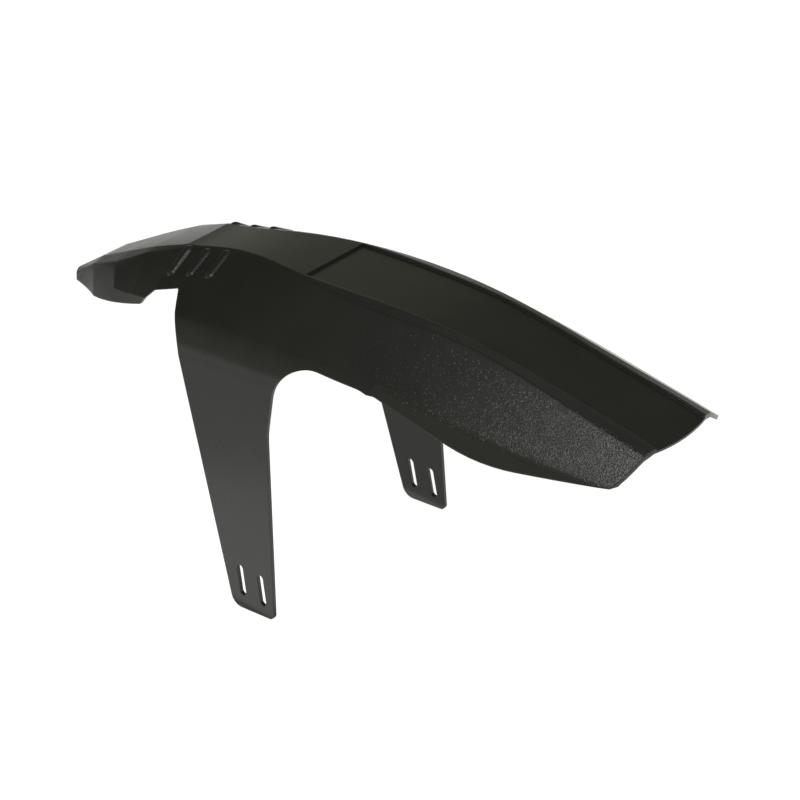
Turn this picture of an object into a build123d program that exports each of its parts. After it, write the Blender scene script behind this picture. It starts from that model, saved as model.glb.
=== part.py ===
from build123d import *
import os
from collections import namedtuple
from math import cos, radians, sin, tan

# Front mudguard for a bicycle fork, moulded in one piece.
# Millimetres. +X runs back to the tail, +Y across the bicycle, +Z up.
# The origin is midway between the two legs, at the middle of their strap slots.

# Walls of the legs and lips and, measured straight down, of the roof; depth of the sunk rear panel
WALL = 2.4
ROOF_WALL = 3.2
STEP_DEPTH = 1.4

# Legs: spread at the slots, draft, and outline from the side
LEG_SPREAD = 161.2
LEG_DRAFT = 2.0
LEG_FOOT_Z = -21.0
LEG_FRONT_FOOT_X = -15.4
LEG_BACK_FOOT_X = 19.0
LEG_FRONT_LEAN = 15.85
LEG_WAIST_X = 12.4
LEG_WAIST_Z = 112.0
LEG_WAIST_R = 60.0
LEG_FOOT_SLOPE = 6.0
LEG_FRONT_FOOT_R = 8.0
LEG_BACK_FOOT_R = 4.0
LEG_BEND_R = 28.0

# Strap slots
SLOT_LENGTH = 21.0
SLOT_WIDTH = 4.8
SLOT_SPACING = 17.0
SLOT_LEAN = 10.0

# Roof, station by station: place along X, then half-width and height of the top panel,
# half-width and height of the crease beside it, and slope of the flank in degrees.
Station = namedtuple("Station", "x top_half top_z crease_half crease_z slope")
CHEEK = Station(-195.0, 10.0, 129.6, 19.5, 127.4, 54.0)
SHOULDER = Station(-164.0, 14.9, 146.6, 28.6, 143.9, 32.0)
BROW = Station(-138.5, 17.2, 159.8, 24.1, 158.4, 34.0)
PANEL_FRONT = Station(-109.0, 17.6, 172.4, 21.1, 171.3, 35.0)
GILLS = Station(-88.0, 16.7, 178.0, 19.2, 177.0, 30.0)
LEG_FRONT = Station(-50.0, 18.6, 187.6, 21.4, 186.6, 32.0)
STEP = Station(-2.0, 26.2, 194.0, 28.4, 193.0, 38.3)
ARCH = Station(60.0, 25.8, 198.6, 32.5, 196.6, 39.0)
SUMMIT = Station(107.0, 24.7, 199.6, 29.9, 198.0, 39.0)
TAIL_WAIST = Station(160.0, 23.4, 194.8, 28.3, 193.4, 39.0)
TAIL_REAR = Station(210.0, 23.2, 187.8, 29.3, 185.6, 39.0)
TAIL_END = Station(257.0, 23.2, 180.4, 30.6, 177.6, 39.0)
PAST_TAIL = Station(306.0, 23.2, 173.0, 31.9, 169.6, 39.0)
MAIN_STATIONS = [PANEL_FRONT, GILLS, LEG_FRONT, STEP, ARCH,
                 SUMMIT, TAIL_WAIST, TAIL_REAR, TAIL_END, PAST_TAIL]

# How far the nose's flanks lag behind their creases, per unit of width, and the radii of the edges
CHEEK_SWEEP = 0.92
SHOULDER_SWEEP = 0.9
BROW_SWEEP = 0.4
PANEL_EDGE_R = 1.5
CREASE_R = 3.0

# Nose tip
NOSE_TIP_X = -230.5
NOSE_TIP_HALF = 1.8
NOSE_TIP_Z = 104.2
NOSE_TIP_CREASE_HALF = 4.5
NOSE_TIP_CREASE_Z = 101.6
NOSE_TIP_FLANK_HALF = 10.0
NOSE_TIP_FLANK_Z = 50.0

# Outline from above, one side, with the tip's arc; from the notch back its widths follow the legs
PLAN_TIP_X = -229.6
PLAN_TIP_R = 10.0
PLAN_TIP_TURN = 52.0
PLAN_CHEEK_X = -195.0
PLAN_CHEEK_HALF = 26.0
PLAN_SHOULDER_X = -152.0
PLAN_SHOULDER_HALF = 42.0
PLAN_NOTCH_X = -105.0
PLAN_NOTCH_INSET = 26.6
PLAN_NOTCH_HALF = LEG_SPREAD / 2 - PLAN_NOTCH_INSET
PLAN_LEG_MARGIN = 9.4
PLAN_LEG_HALF = LEG_SPREAD / 2 + PLAN_LEG_MARGIN
PLAN_LEG_FRONT_X = -69.3
PLAN_LEG_BACK_X = 45.2
PLAN_LIP_X = 88.0
PLAN_OVERLAP_X = (PLAN_LEG_BACK_X + PLAN_LIP_X) / 2
PLAN_LIP_INSET = 16.9
PLAN_LIP_HALF = LEG_SPREAD / 2 - PLAN_LIP_INSET
PLAN_TAIL_MID_X = 170.0
PLAN_TAIL_MID_INSET = 23.4
PLAN_TAIL_MID_HALF = LEG_SPREAD / 2 - PLAN_TAIL_MID_INSET
PLAN_TAIL_HALF = 33.0

# Lips of the tail: slope from level, radius of the crease, and where the outline from above holds:
# a little over the flank at the front of the lips
LIP_SLOPE = 62.0
LIP_CREASE_R = 10.0
LIP_TOP_RISE = 1.4
LIP_TOP_DROP = (PLAN_LIP_HALF - SUMMIT.crease_half) * tan(radians(SUMMIT.slope))
LIP_TOP_Z = SUMMIT.crease_z - LIP_TOP_DROP + LIP_TOP_RISE

# Working solids: half-width at the cheeks, at the nose past its outline and elsewhere, floor and ceiling
CHEEK_ROOF_HALF = 34.0
NOSE_ROOF_MARGIN = 1.0
NOSE_ROOF_HALF = PLAN_NOTCH_HALF + NOSE_ROOF_MARGIN
ROOF_HALF = 100.0
FLOOR_Z = -40.0
CEILING_Z = 240.0

# Rounded end of the tail, seen from above
TAIL_END_R = 110.0

# Lower edge, seen from the side
NOSE_LOW_Z = 97.0
NOSE_LOW_FRONT_X = -191.3
NOSE_LOW_FRONT_Z = 110.2
NOSE_LOW_MID_X = -158.0
NOSE_LOW_MID_Z = 122.6
NOSE_LOW_BACK_X = -119.6
NOSE_LOW_BACK_Z = 139.8
NOTCH_FRONT_X = -109.3
NOTCH_FRONT_Z = 152.5
NOTCH_BACK_X = -88.6
NOTCH_BACK_Z = 161.0
NOTCH_R = 3.0
LEG_SHOULDER_Z = 151.2
LEG_SHOULDER_R = 26.0
ARCH_FRONT_X = 19.5
ARCH_FRONT_Z = 164.8
ARCH_FRONT_R = 33.0
ARCH_BACK_X = 80.0
ARCH_BACK_Z = 167.4
ARCH_BACK_R = 40.0
LIP_LOW_X = 167.4
LIP_LOW_Z = 153.9
LIP_LOW_R = 160.0
LIP_END_Z = 171.6

# Flat width left on the rims beside the sunk rear panel
RIM_TOP = 1.2

# Gills on the flanks: place and pitch along X, their top and width across, radius, height above the skin
GILL_COUNT = 3
GILL_FRONT_X = -104.8
GILL_PITCH = 16.5
GILL_TOP_Y = 20.2
GILL_WIDTH_Y = 14.0
GILL_R = 4.4
GILL_PROUD = 1.2


def rounded(points, radii, closed=False):
    """Edges along the points, with an arc of the given radius at each corner (0 for a sharp one)."""
    corners = [Vector(*p) for p in points]
    count = len(corners)
    starts = []
    ends = []
    arcs = []
    for i, (corner, radius) in enumerate(zip(corners, radii)):
        if radius == 0 or (not closed and i in (0, count - 1)):
            starts.append(corner)
            ends.append(corner)
            continue
        back = (corners[i - 1] - corner).normalized()
        ahead = (corners[(i + 1) % count] - corner).normalized()
        half_turn = radians(180 - back.get_angle(ahead)) / 2
        reach = radius * tan(half_turn)
        inward = (back + ahead).normalized() * radius * (1 / cos(half_turn) - 1)
        starts.append(corner + back * reach)
        ends.append(corner + ahead * reach)
        arcs.append(Edge.make_three_point_arc(starts[-1], corner + inward, ends[-1]))
    last = count if closed else count - 1
    lines = [Edge.make_line(ends[i], starts[(i + 1) % count]) for i in range(last)]
    return lines + arcs


def roof_wire(half_points):
    """Closed section from the (x, y, z) points of one side, listed from the floor up to the top."""
    other_side = [(x, -y, z) for x, y, z in reversed(half_points)]
    radii = [0, 0, CREASE_R, PANEL_EDGE_R]
    return Wire(rounded(half_points + other_side, radii + radii[::-1], closed=True))


def station_wire(s, half=ROOF_HALF, sweep=0.0):
    """Section of the roof at a station; sweep carries the flank's outer end back along X."""
    reach = half - s.crease_half
    flank_x = s.x + reach * sweep
    flank_z = s.crease_z - reach * tan(radians(s.slope))
    return roof_wire([(flank_x, half, FLOOR_Z), (flank_x, half, flank_z),
                      (s.x, s.crease_half, s.crease_z), (s.x, s.top_half, s.top_z)])


def make_roof():
    """Everything under the outer skin, far wider and deeper than the guard itself."""
    tip = roof_wire([(NOSE_TIP_X, NOSE_TIP_FLANK_HALF, FLOOR_Z),
                     (NOSE_TIP_X, NOSE_TIP_FLANK_HALF, NOSE_TIP_FLANK_Z),
                     (NOSE_TIP_X, NOSE_TIP_CREASE_HALF, NOSE_TIP_CREASE_Z),
                     (NOSE_TIP_X, NOSE_TIP_HALF, NOSE_TIP_Z)])
    nose = Solid.make_loft([tip,
                            station_wire(CHEEK, CHEEK_ROOF_HALF, CHEEK_SWEEP),
                            station_wire(SHOULDER, NOSE_ROOF_HALF, SHOULDER_SWEEP),
                            station_wire(BROW, NOSE_ROOF_HALF, BROW_SWEEP),
                            station_wire(PANEL_FRONT, NOSE_ROOF_HALF)], ruled=True)
    return nose + Solid.make_loft([station_wire(s) for s in MAIN_STATIONS])


def mirrored_face(edges):
    """Face on the XY plane from the edges of its +Y half, which start and end on the X axis."""
    other_side = [e.mirror(Plane.XZ) for e in edges]
    return make_face(edges + other_side)


def front_plan():
    """Outline from above of the nose and the legs, run on a little way behind the legs."""
    turn = radians(PLAN_TIP_TURN)
    centre = Vector(PLAN_TIP_X + PLAN_TIP_R, 0, 0)
    tip = Vector(PLAN_TIP_X, 0, 0)
    bow = centre + Vector(-cos(turn / 2), sin(turn / 2), 0) * PLAN_TIP_R
    side = centre + Vector(-cos(turn), sin(turn), 0) * PLAN_TIP_R
    cheek = (PLAN_CHEEK_X, PLAN_CHEEK_HALF, 0)
    corners = [(PLAN_SHOULDER_X, PLAN_SHOULDER_HALF, 0), (PLAN_NOTCH_X, PLAN_NOTCH_HALF, 0),
               (PLAN_LEG_FRONT_X, PLAN_LEG_HALF, 0), (PLAN_OVERLAP_X, PLAN_LEG_HALF, 0),
               (PLAN_OVERLAP_X, 0, 0)]
    edges = [Edge.make_three_point_arc(tip, bow, side)]
    edges.append(Edge.make_three_point_arc(side, cheek, corners[0]))
    return mirrored_face(edges + rounded(corners, [0] * len(corners)))


def arch_plan():
    """Outline that draws in behind the legs to the front of the lips, carried on to the middle."""
    slant = (PLAN_LEG_HALF - PLAN_LIP_HALF) / (PLAN_LIP_X - PLAN_LEG_BACK_X)
    corners = [(PLAN_LEG_BACK_X, 0, 0), (PLAN_LEG_BACK_X, PLAN_LEG_HALF, 0),
               (PLAN_LEG_BACK_X + PLAN_LEG_HALF / slant, 0, 0)]
    return mirrored_face(rounded(corners, [0] * len(corners)))


def tail_plan():
    """Outline of the tail at the top of its lips, one arc from behind the legs past the tail's end."""
    lip = (PLAN_LIP_X, PLAN_LIP_HALF, 0)
    tail_mid = (PLAN_TAIL_MID_X, PLAN_TAIL_MID_HALF, 0)
    tail = (PAST_TAIL.x, PLAN_TAIL_HALF, 0)
    arc = Edge.make_three_point_arc(lip, tail_mid, tail)
    length = PAST_TAIL.x - PLAN_OVERLAP_X
    side = Pos(PLAN_OVERLAP_X + length / 2, LEG_SPREAD / 2) * Rectangle(length, LEG_SPREAD)
    half = Pos(arc.arc_center) * Circle(arc.radius) & side
    return half + mirror(half, Plane.XZ)


def upright(face):
    """Prism over a face drawn from above, from below the feet to the ceiling."""
    start_z = (FLOOR_Z + LEG_FOOT_Z) / 2
    return extrude(Pos(0, 0, start_z) * face, amount=CEILING_Z - start_z)


def skirted(face):
    """Upright prism over a face drawn from above, spreading below the top of the lips at their slope."""
    top = Pos(0, 0, LIP_TOP_Z) * face
    above = extrude(top, amount=CEILING_Z - LIP_TOP_Z)
    skirt = extrude(top, dir=(0, 0, -1), amount=LIP_TOP_Z - LEG_WAIST_Z, taper=LIP_SLOPE - 90)
    return above + skirt


def shrunk(face, inset):
    """The face drawn in by an inset all round."""
    return offset(face, -inset, kind=Kind.INTERSECTION) if inset else face


def leg_footprint(inset):
    """Everything over the outline of the nose and legs from above, or an inset inside it."""
    lip_inset = inset / sin(radians(LIP_SLOPE))
    return upright(shrunk(front_plan(), inset)) + skirted(shrunk(arch_plan(), lip_inset))


def tail_footprint(inset):
    """Everything over the outline of the tail from above, or an inset inside its lips."""
    return skirted(shrunk(tail_plan(), inset / sin(radians(LIP_SLOPE))))


def side_prism():
    """Everything inside the outline seen from the side."""
    lean = tan(radians(LEG_FRONT_LEAN))
    foot_rise = tan(radians(LEG_FOOT_SLOPE))
    shoulder_x = LEG_FRONT_FOOT_X - (LEG_SHOULDER_Z - LEG_FOOT_Z) * lean
    back_foot_z = LEG_FOOT_Z + (LEG_BACK_FOOT_X - LEG_FRONT_FOOT_X) * foot_rise
    corners = [
        (NOSE_LOW_BACK_X, NOSE_LOW_BACK_Z, 0),
        (NOTCH_FRONT_X, NOTCH_FRONT_Z, NOTCH_R),
        (NOTCH_BACK_X, NOTCH_BACK_Z, NOTCH_R),
        (shoulder_x, LEG_SHOULDER_Z, LEG_SHOULDER_R),
        (LEG_FRONT_FOOT_X, LEG_FOOT_Z, LEG_FRONT_FOOT_R),
        (LEG_BACK_FOOT_X, back_foot_z, LEG_BACK_FOOT_R),
        (LEG_WAIST_X, LEG_WAIST_Z, LEG_WAIST_R),
        (ARCH_FRONT_X, ARCH_FRONT_Z, ARCH_FRONT_R),
        (ARCH_BACK_X, ARCH_BACK_Z, ARCH_BACK_R),
        (LIP_LOW_X, LIP_LOW_Z, LIP_LOW_R),
        (PAST_TAIL.x, LIP_END_Z, 0),
        (PAST_TAIL.x, CEILING_Z, 0),
        (NOSE_TIP_X, CEILING_Z, 0),
        (NOSE_TIP_X, NOSE_LOW_Z, 0),
    ]
    edges = rounded([(x, 0, z) for x, z, r in corners], [r for x, z, r in corners])
    edges.append(Edge.make_spline([Vector(NOSE_TIP_X, 0, NOSE_LOW_Z),
                                   Vector(NOSE_LOW_FRONT_X, 0, NOSE_LOW_FRONT_Z),
                                   Vector(NOSE_LOW_MID_X, 0, NOSE_LOW_MID_Z),
                                   Vector(NOSE_LOW_BACK_X, 0, NOSE_LOW_BACK_Z)]))
    return extrude(make_face(edges), amount=LEG_SPREAD, both=True)


def tail_waste():
    """What lies beyond the rounded end of the tail."""
    beyond = Pos(TAIL_END.x, 0, 0) * Box(2 * TAIL_END_R, 4 * TAIL_END_R, 4 * TAIL_END_R)
    keep = Pos(TAIL_END.x - TAIL_END_R, 0, 0) * Cylinder(TAIL_END_R, 4 * TAIL_END_R)
    return Pos(TAIL_END_R / 2, 0, 0) * beyond - keep


def sunk_face():
    """Outline from above of the sunk rear panel, just inside the edges of the top."""
    side = [Vector(s.x, s.top_half - RIM_TOP, 0) for s in MAIN_STATIONS if s.x >= STEP.x]
    step = Edge.make_line((side[0].X, 0, 0), side[0])
    end = Edge.make_line(side[-1], (side[-1].X, 0, 0))
    return mirrored_face([step, Edge.make_spline(side), end])


def leg_wedge(inset):
    """Everything between the outer faces of the two legs, or an inset from them."""
    low_half = LEG_SPREAD / 2 - inset - FLOOR_Z * tan(radians(LEG_DRAFT))
    high_half = LEG_SPREAD / 2 - inset - CEILING_Z * tan(radians(LEG_DRAFT))
    corners = [(0, -low_half, FLOOR_Z), (0, low_half, FLOOR_Z),
               (0, high_half, CEILING_Z), (0, -high_half, CEILING_Z)]
    section = make_face(rounded(corners, [0] * len(corners), closed=True))
    return extrude(section, amount=PAST_TAIL.x, both=True)


def bent(body, radius):
    """The body with the two long edges rounded where its flanks turn down into the legs."""
    bends = [e for e in body.edges() if e.length > 2 * LEG_BEND_R
             and abs(e.center().Y) > PLAN_LIP_HALF and e.center().Z > LEG_WAIST_Z]
    return fillet(bends, radius)


def creased(body, radius):
    """The body with the two long edges rounded where the tail's flanks turn down into its lips."""
    beyond_y = (SUMMIT.crease_half + PLAN_LIP_HALF) / 2
    creases = [e for e in body.edges() if e.length > TAIL_END.x - PLAN_LIP_X
               and abs(e.center().Y) > beyond_y and e.center().Z > LIP_LOW_Z]
    return fillet(creases, radius)


def skin_point(roof, x, y):
    """Point of the roof's skin above (x, y)."""
    inside = roof & Edge.make_line((x, y, LEG_FOOT_Z), (x, y, CEILING_Z))
    return Vector(x, y, inside.bounding_box().max.Z)


def gill(roof, x, side):
    """Round-ended rib running down the flank on one side (1 or -1), partly sunk in it."""
    top = skin_point(roof, x, side * GILL_TOP_Y)
    foot = skin_point(roof, x, side * (GILL_TOP_Y + GILL_WIDTH_Y))
    flank = Plane(origin=top, x_dir=foot - top, z_dir=(1, 0, 0))
    length = (foot - top).length
    cap = GILL_R * sin(radians(45))
    outline = [Edge.make_line((-GILL_R, 0), (length + GILL_R, 0)),
               Edge.make_three_point_arc((length + GILL_R, 0), (length + cap, cap), (length, GILL_R)),
               Edge.make_line((length, GILL_R), (0, GILL_R)),
               Edge.make_three_point_arc((0, GILL_R), (-cap, cap), (-GILL_R, 0))]
    rib = revolve(make_face(outline), Axis.X)
    return Pos(0, 0, GILL_PROUD - GILL_R) * (flank * rib)


def slot_cutters():
    """Prisms through both legs, one for each strap slot of a leg."""
    slot = SlotOverall(SLOT_LENGTH, SLOT_WIDTH, rotation=90 + SLOT_LEAN)
    slots = [Pos(x, 0) * slot for x in (-SLOT_SPACING / 2, SLOT_SPACING / 2)]
    return [extrude(Plane.XZ * s, amount=LEG_SPREAD, both=True) for s in slots]


roof = make_roof()
inner_roof = Pos(0, 0, -ROOF_WALL) * roof
outer_legs = bent(roof & leg_wedge(0), LEG_BEND_R) & leg_footprint(0)
outer_tail = creased(roof & tail_footprint(0), LIP_CREASE_R)
inner = bent(inner_roof & leg_wedge(WALL), LEG_BEND_R - WALL)
inner &= leg_footprint(WALL) + tail_footprint(WALL)

guard = outer_legs + outer_tail
for i in range(GILL_COUNT):
    for side in (1, -1):
        guard += gill(roof, GILL_FRONT_X + i * GILL_PITCH, side)
guard -= inner
guard &= side_prism()
guard -= tail_waste()
guard -= upright(sunk_face()) - Pos(0, 0, -STEP_DEPTH) * roof
for cutter in slot_cutters():
    guard -= cutter

os.makedirs("parts", exist_ok=True)
export_step(guard, "parts/mudguard.step")
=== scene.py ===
from math import radians

import bpy
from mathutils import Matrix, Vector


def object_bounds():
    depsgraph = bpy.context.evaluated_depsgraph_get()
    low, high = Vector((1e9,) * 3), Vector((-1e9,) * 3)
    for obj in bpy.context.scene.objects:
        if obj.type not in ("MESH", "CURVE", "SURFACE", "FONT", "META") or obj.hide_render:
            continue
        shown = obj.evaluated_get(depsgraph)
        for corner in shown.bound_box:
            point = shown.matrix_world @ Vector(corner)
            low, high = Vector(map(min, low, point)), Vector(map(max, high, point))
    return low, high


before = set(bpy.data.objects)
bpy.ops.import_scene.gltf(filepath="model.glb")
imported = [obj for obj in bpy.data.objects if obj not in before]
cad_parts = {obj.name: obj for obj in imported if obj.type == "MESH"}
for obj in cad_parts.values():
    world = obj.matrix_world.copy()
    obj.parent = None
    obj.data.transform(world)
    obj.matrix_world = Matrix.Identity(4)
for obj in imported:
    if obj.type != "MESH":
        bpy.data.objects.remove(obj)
cad_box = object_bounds()


# Shader maths: a value wraps a socket, and Python's operators on it add Math nodes.

class Value:
    # The Mix node's colour sockets, by number because several of its sockets share a name
    MIX_UNDER = 6
    MIX_OVER = 7
    MIX_RESULT = 2

    def __init__(self, tree, socket):
        self.tree = tree
        self.socket = socket

    @staticmethod
    def feed(tree, socket, value):
        """Links a value or a list of values to a socket, or sets a plain number, colour or vector on it."""
        if isinstance(value, Value):
            tree.links.new(value.socket, socket)
        elif isinstance(value, list):
            for one in value:
                tree.links.new(one.socket, socket)
        else:
            socket.default_value = value

    @staticmethod
    def node(tree, kind, settings, sockets, out=0):
        """Adds a node, sets its settings and then its sockets, and gives one of its outputs."""
        made = tree.nodes.new(kind)
        for name, setting in settings.items():
            if name == "stops":
                stops = made.color_ramp.elements
                for i, (place, colour) in enumerate(setting):
                    stop = stops[i] if i < len(stops) else stops.new(place)
                    stop.position = place
                    stop.color = (*colour, 1)
            else:
                setattr(made, name, setting)
        for name, value in sockets.items():
            Value.feed(tree, made.inputs[name], value)
        return None if out is None else Value(tree, made.outputs[out])

    def maths(self, operation, first, second=0.0):
        return self.node(self.tree, "ShaderNodeMath", {"operation": operation}, {0: first, 1: second})

    def __add__(self, other):
        return self.maths("ADD", self, other)

    def __radd__(self, other):
        return self.maths("ADD", other, self)

    def __sub__(self, other):
        return self.maths("SUBTRACT", self, other)

    def __rsub__(self, other):
        return self.maths("SUBTRACT", other, self)

    def __mul__(self, other):
        return self.maths("MULTIPLY", self, other)

    def __rmul__(self, other):
        return self.maths("MULTIPLY", other, self)

    def __abs__(self):
        return self.maths("ABSOLUTE", self)

    def axis(self, letter):
        """The X, Y or Z of a place or direction."""
        return self.node(self.tree, "ShaderNodeSeparateXYZ", {}, {"Vector": self}, letter)

    def ramp(self, start, end):
        """0 below start and 1 above end, smooth between."""
        return self.node(self.tree, "ShaderNodeMapRange", {"interpolation_type": "SMOOTHSTEP"},
                         {"Value": self, "From Min": start, "From Max": end})

    def colours(self, stops):
        """The colour that this value reaches along a row of stops."""
        return self.node(self.tree, "ShaderNodeValToRGB", {"stops": stops}, {"Fac": self}, "Color")

    def tint(self, under, colour, blend="MIX"):
        """The colour under, with a plain colour laid over it as far as this value says."""
        return self.node(self.tree, "ShaderNodeMix", {"data_type": "RGBA", "blend_type": blend},
                         {"Factor": self, self.MIX_UNDER: under, self.MIX_OVER: (*colour, 1)},
                         self.MIX_RESULT)


# Satin black plastic with a fine mould grain and painted glints on its tail

def noise(place, scale, detail, roughness):
    return Value.node(place.tree, "ShaderNodeTexNoise", {},
                      {"Vector": place, "Scale": scale, "Detail": detail, "Roughness": roughness}, "Fac")


def black_plastic():
    dark_black = (0.0135, 0.0135, 0.012)
    pale_black = (0.0195, 0.0195, 0.0175)
    least_roughness = 0.25
    roughness_spread = 0.06
    edge_radius = 0.0012
    grain_depth = 0.00016
    # Grey of the painted glints on the tail
    glint_grey = (0.11, 0.11, 0.107)
    glint_cells_to_metre = 1800.0
    tail_glint_share = 0.06
    tail_end_glint_share = 0.26

    material = bpy.data.materials.new("black_plastic")
    material.use_nodes = True
    tree = material.node_tree
    shader = tree.nodes["Principled BSDF"]
    shader.inputs["IOR"].default_value = 1.5

    place = Value.node(tree, "ShaderNodeTexCoord", {}, {}, "Object")
    along = place.axis("X")
    across = abs(place.axis("Y"))
    up = place.axis("Z")

    # Where the finish changes over the guard, in metres from its origin
    flanks = across.ramp(0.026, 0.034)
    above_lips = up.ramp(0.163, 0.170)
    tail = along.ramp(0.02, 0.14)
    glinting_end = along.ramp(0.10, 0.27)
    coarse_end = along.ramp(0.12, 0.27)

    grain = noise(place, scale=1100.0, detail=2.0, roughness=0.6)
    dimples = noise(place, scale=1250.0, detail=1.0, roughness=0.5)
    mottle = noise(place, scale=45.0, detail=4.0, roughness=0.55)
    tone = (0.75 * mottle + 0.25 * grain).colours([(0.25, dark_black), (0.75, pale_black)])

    # Painted glints: pale specks in the colour for light sparkling on the tail's flanks above its lips, one
    # to a cell, closer together towards the end
    cells = Value.node(tree, "ShaderNodeTexVoronoi", {},
                       {"Vector": place, "Scale": glint_cells_to_metre}, "Color")
    chance = Value.node(tree, "ShaderNodeSeparateColor", {}, {"Color": cells}, "Red")
    glint_crowding = flanks * above_lips * (tail_glint_share * tail + tail_end_glint_share * glinting_end)
    painted_glints = (chance + glint_crowding).ramp(1.0, 1.06)
    Value.feed(tree, shader.inputs["Base Color"], painted_glints.tint(tone, glint_grey))
    Value.feed(tree, shader.inputs["Roughness"], least_roughness + roughness_spread * mottle)

    # The grain is coarse on the flanks of the tail, most at its end, and fine on the top and the nose
    coarse = flanks * (0.4 * tail + 0.6 * coarse_end)
    rounded_edges = Value.node(tree, "ShaderNodeBevel", {"samples": 8}, {"Radius": edge_radius}, "Normal")
    bump = Value.node(tree, "ShaderNodeBump", {},
                      {"Strength": 1.0, "Distance": grain_depth, "Height": 0.4 * grain + dimples * coarse,
                       "Normal": rounded_edges}, "Normal")
    Value.feed(tree, shader.inputs["Normal"], bump)
    return material


def smooth_nose(part):
    """Shades the nose, ahead of the front panel, as one skin that turns sharply only at its creases."""
    nose_end = -0.1093
    same_place = 0.000001
    crease_angle = radians(16.0)

    tree = bpy.data.node_groups.new("smooth_nose", "GeometryNodeTree")
    for way in ("INPUT", "OUTPUT"):
        tree.interface.new_socket("Geometry", in_out=way, socket_type="NodeSocketGeometry")

    def compared(value, operation, limit):
        return Value.node(tree, "FunctionNodeCompare", {"operation": operation}, {0: value, 1: limit})

    def without(faces, shape):
        return Value.node(tree, "GeometryNodeDeleteGeometry", {"domain": "FACE"},
                          {"Geometry": shape, "Selection": faces})

    whole = Value.node(tree, "NodeGroupInput", {}, {}, "Geometry")
    along = Value.node(tree, "GeometryNodeInputPosition", {}, {}).axis("X")
    nose = without(compared(along, "GREATER_EQUAL", nose_end), whole)
    rest = without(compared(along, "LESS_THAN", nose_end), whole)
    skin = Value.node(tree, "GeometryNodeMergeByDistance", {}, {"Geometry": nose, "Distance": same_place})
    turn = Value.node(tree, "GeometryNodeInputMeshEdgeAngle", {}, {}, "Unsigned Angle")
    creases = compared(turn, "GREATER_THAN", crease_angle)
    shaded = Value.node(tree, "GeometryNodeSetMeshNormal", {"mode": "SHARPNESS"},
                        {"Mesh": skin, "Edge Sharpness": creases})
    joined = Value.node(tree, "GeometryNodeJoinGeometry", {}, {0: [shaded, rest]})
    Value.node(tree, "NodeGroupOutput", {}, {"Geometry": joined}, None)
    part.modifiers.new("smooth_nose", "NODES").node_group = tree


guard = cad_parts["mudguard"]
guard.data.materials.clear()
guard.data.materials.append(black_plastic())
smooth_nose(guard)


# Floor, light and camera

def lying(corners, height):
    return [(x, y, height) for x, y in corners]


def sheet(name, corners, base, roughness, seen):
    """A flat stage piece with a painted glow and no gloss; gives its nodes and the socket of its glow."""
    mesh = bpy.data.meshes.new(name)
    mesh.from_pydata(corners, [], [(0, 1, 2, 3)])
    piece = bpy.data.objects.new(name, mesh)
    bpy.context.scene.collection.objects.link(piece)
    material = bpy.data.materials.new(name)
    material.use_nodes = True
    mesh.materials.append(material)
    piece.visible_camera = seen

    tree = material.node_tree
    shader = tree.nodes["Principled BSDF"]
    shader.inputs["Base Color"].default_value = (*base, 1)
    shader.inputs["Roughness"].default_value = roughness
    shader.inputs["Specular IOR Level"].default_value = 0.0
    shader.inputs["Emission Strength"].default_value = 1.0
    return tree, shader.inputs["Emission Color"]


def pale_floor(height):
    """White round the guard and greyer far away: a painted glow that stands in for the light falling off
    with distance.
    """
    half = 40.0
    brightest_place = (-0.2, 0.25, height)
    dimmest_distance = 5.0
    corners = lying([(-half, -half), (half, -half), (half, half), (-half, half)], height)
    tree, glow = sheet("pale_floor", corners, base=(0.25, 0.25, 0.25), roughness=0.9, seen=True)

    place = Value.node(tree, "ShaderNodeTexCoord", {}, {}, "Object")
    away = Value.node(tree, "ShaderNodeVectorMath", {"operation": "DISTANCE"},
                      {0: place, 1: brightest_place}, "Value")
    # Painted light: the floor's glow fades with distance from its brightest place
    painted_glow = (away * (1 / dimmest_distance)).colours([
        (0.0, (0.97, 0.97, 0.97)),
        (0.16, (0.97, 0.97, 0.97)),
        (0.30, (0.76, 0.76, 0.72)),
        (0.60, (0.52, 0.52, 0.49)),
        (1.0, (0.33, 0.33, 0.31)),
    ])
    Value.feed(tree, glow, painted_glow)


def dark_card(foot):
    """A dark card that the nose reflects, with a painted glow that is paler at its foot for the floor's
    light on it; it stands unseen by the camera.
    """
    near = (-0.27, -0.10)
    far = (-0.80, 0.49)
    top = foot + 0.5
    corners = [(*near, foot), (*far, foot), (*far, top), (*near, top)]
    tree, glow = sheet("dark_card", corners, base=(0.02, 0.02, 0.018), roughness=1.0, seen=False)

    place = Value.node(tree, "ShaderNodeTexCoord", {}, {}, "Object")
    # Painted light: the card glows paler towards its foot, where the floor's light would fall
    painted_glow = (place.axis("Z") - foot).colours([
        (0.0, (0.42, 0.42, 0.40)),
        (0.12, (0.21, 0.21, 0.195)),
        (0.25, (0.07, 0.07, 0.06)),
    ])
    Value.feed(tree, glow, painted_glow)


def painted_shade_card(name, corners, floor, tone):
    """A dim card that a leg reflects: painted shade on the floor, seen only in reflections; it lies just
    above the floor, unseen by the camera.
    """
    lift = 0.001
    tree, glow = sheet(name, lying(corners, floor + lift), base=(0.2, 0.2, 0.2), roughness=1.0, seen=False)
    Value.feed(tree, glow, (tone, tone, tone, 1))


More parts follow.
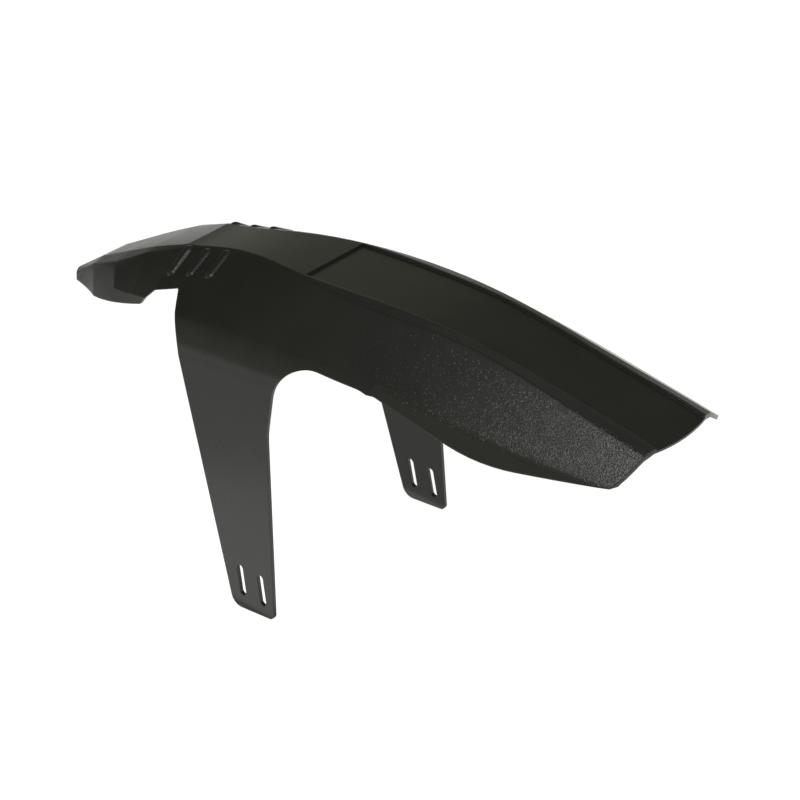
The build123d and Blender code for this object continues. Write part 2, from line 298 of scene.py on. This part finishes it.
def studio_room():
    """A dim room, palest just above the horizon, with a pale ceiling behind and more light in front."""
    ceiling_glow = (0.38, 0.38, 0.37)
    front_glow = (0.19, 0.19, 0.185)

    world = bpy.data.worlds.new("studio_room")
    world.use_nodes = True
    tree = world.node_tree
    direction = Value.node(tree, "ShaderNodeTexCoord", {}, {}, "Generated")
    height = direction.axis("Z")
    behind = direction.axis("Y")
    wall = height.colours([
        (0.0, (0.23, 0.24, 0.20)),
        (0.05, (0.24, 0.25, 0.205)),
        (0.10, (0.28, 0.295, 0.23)),
        (0.28, (0.295, 0.31, 0.23)),
        (0.45, (0.195, 0.205, 0.145)),
        (0.56, (0.13, 0.135, 0.10)),
        (0.70, (0.10, 0.10, 0.09)),
    ])
    ceiling = height.ramp(0.70, 0.84) * behind.ramp(0.0, 0.2)
    front = (0.0 - behind).ramp(0.15, 0.5) * (0.5 + 0.5 * height.ramp(0.3, 0.7))
    room = front.tint(ceiling.tint(wall, ceiling_glow), front_glow, blend="ADD")
    Value.feed(tree, tree.nodes["Background"].inputs["Color"], room)
    bpy.context.scene.world = world


def soft_box(name, place, aim, size, power):
    lamp = bpy.data.lights.new(name, "AREA")
    lamp.shape = "SQUARE"
    lamp.size = size
    lamp.energy = power
    box = bpy.data.objects.new(name, lamp)
    box.location = place
    box.rotation_euler = (aim - box.location).to_track_quat("-Z", "Y").to_euler()
    bpy.context.scene.collection.objects.link(box)


def camera():
    tilt = radians(58.0)
    turn = radians(41.5046)
    lens = bpy.data.cameras.new("camera")
    lens.sensor_width = 36.0
    lens.lens = 128.014
    shot = bpy.data.objects.new("camera", lens)
    shot.location = (1.00673, -1.08127, 1.01891)
    shot.rotation_euler = (tilt, 0.0, turn)
    bpy.context.scene.collection.objects.link(shot)
    bpy.context.scene.camera = shot


bpy.context.scene.view_settings.view_transform = "Standard"
low, high = cad_box
centre = (low + high) / 2
far_leg_corners = [(-0.16, -0.085), (0.03, -0.085), (0.03, 0.075), (-0.16, 0.075)]
near_leg_corners = [(-0.37, 0.03), (0.11, -0.40), (-0.24, -0.79), (-0.72, -0.36)]
pale_floor(low.z)
dark_card(low.z)
# Painted shade on the floor under and beside the guard, seen only in the legs' reflections
painted_shade_card("far_leg_painted_shade", far_leg_corners, low.z, tone=0.5)
painted_shade_card("near_leg_painted_shade", near_leg_corners, low.z, tone=0.54)
studio_room()
soft_box("overhead", (0.13, -0.77, 1.51), centre, size=0.3, power=4.4)
soft_box("side", (0.9, -0.25, 1.6), centre, size=0.25, power=3.5)
camera()
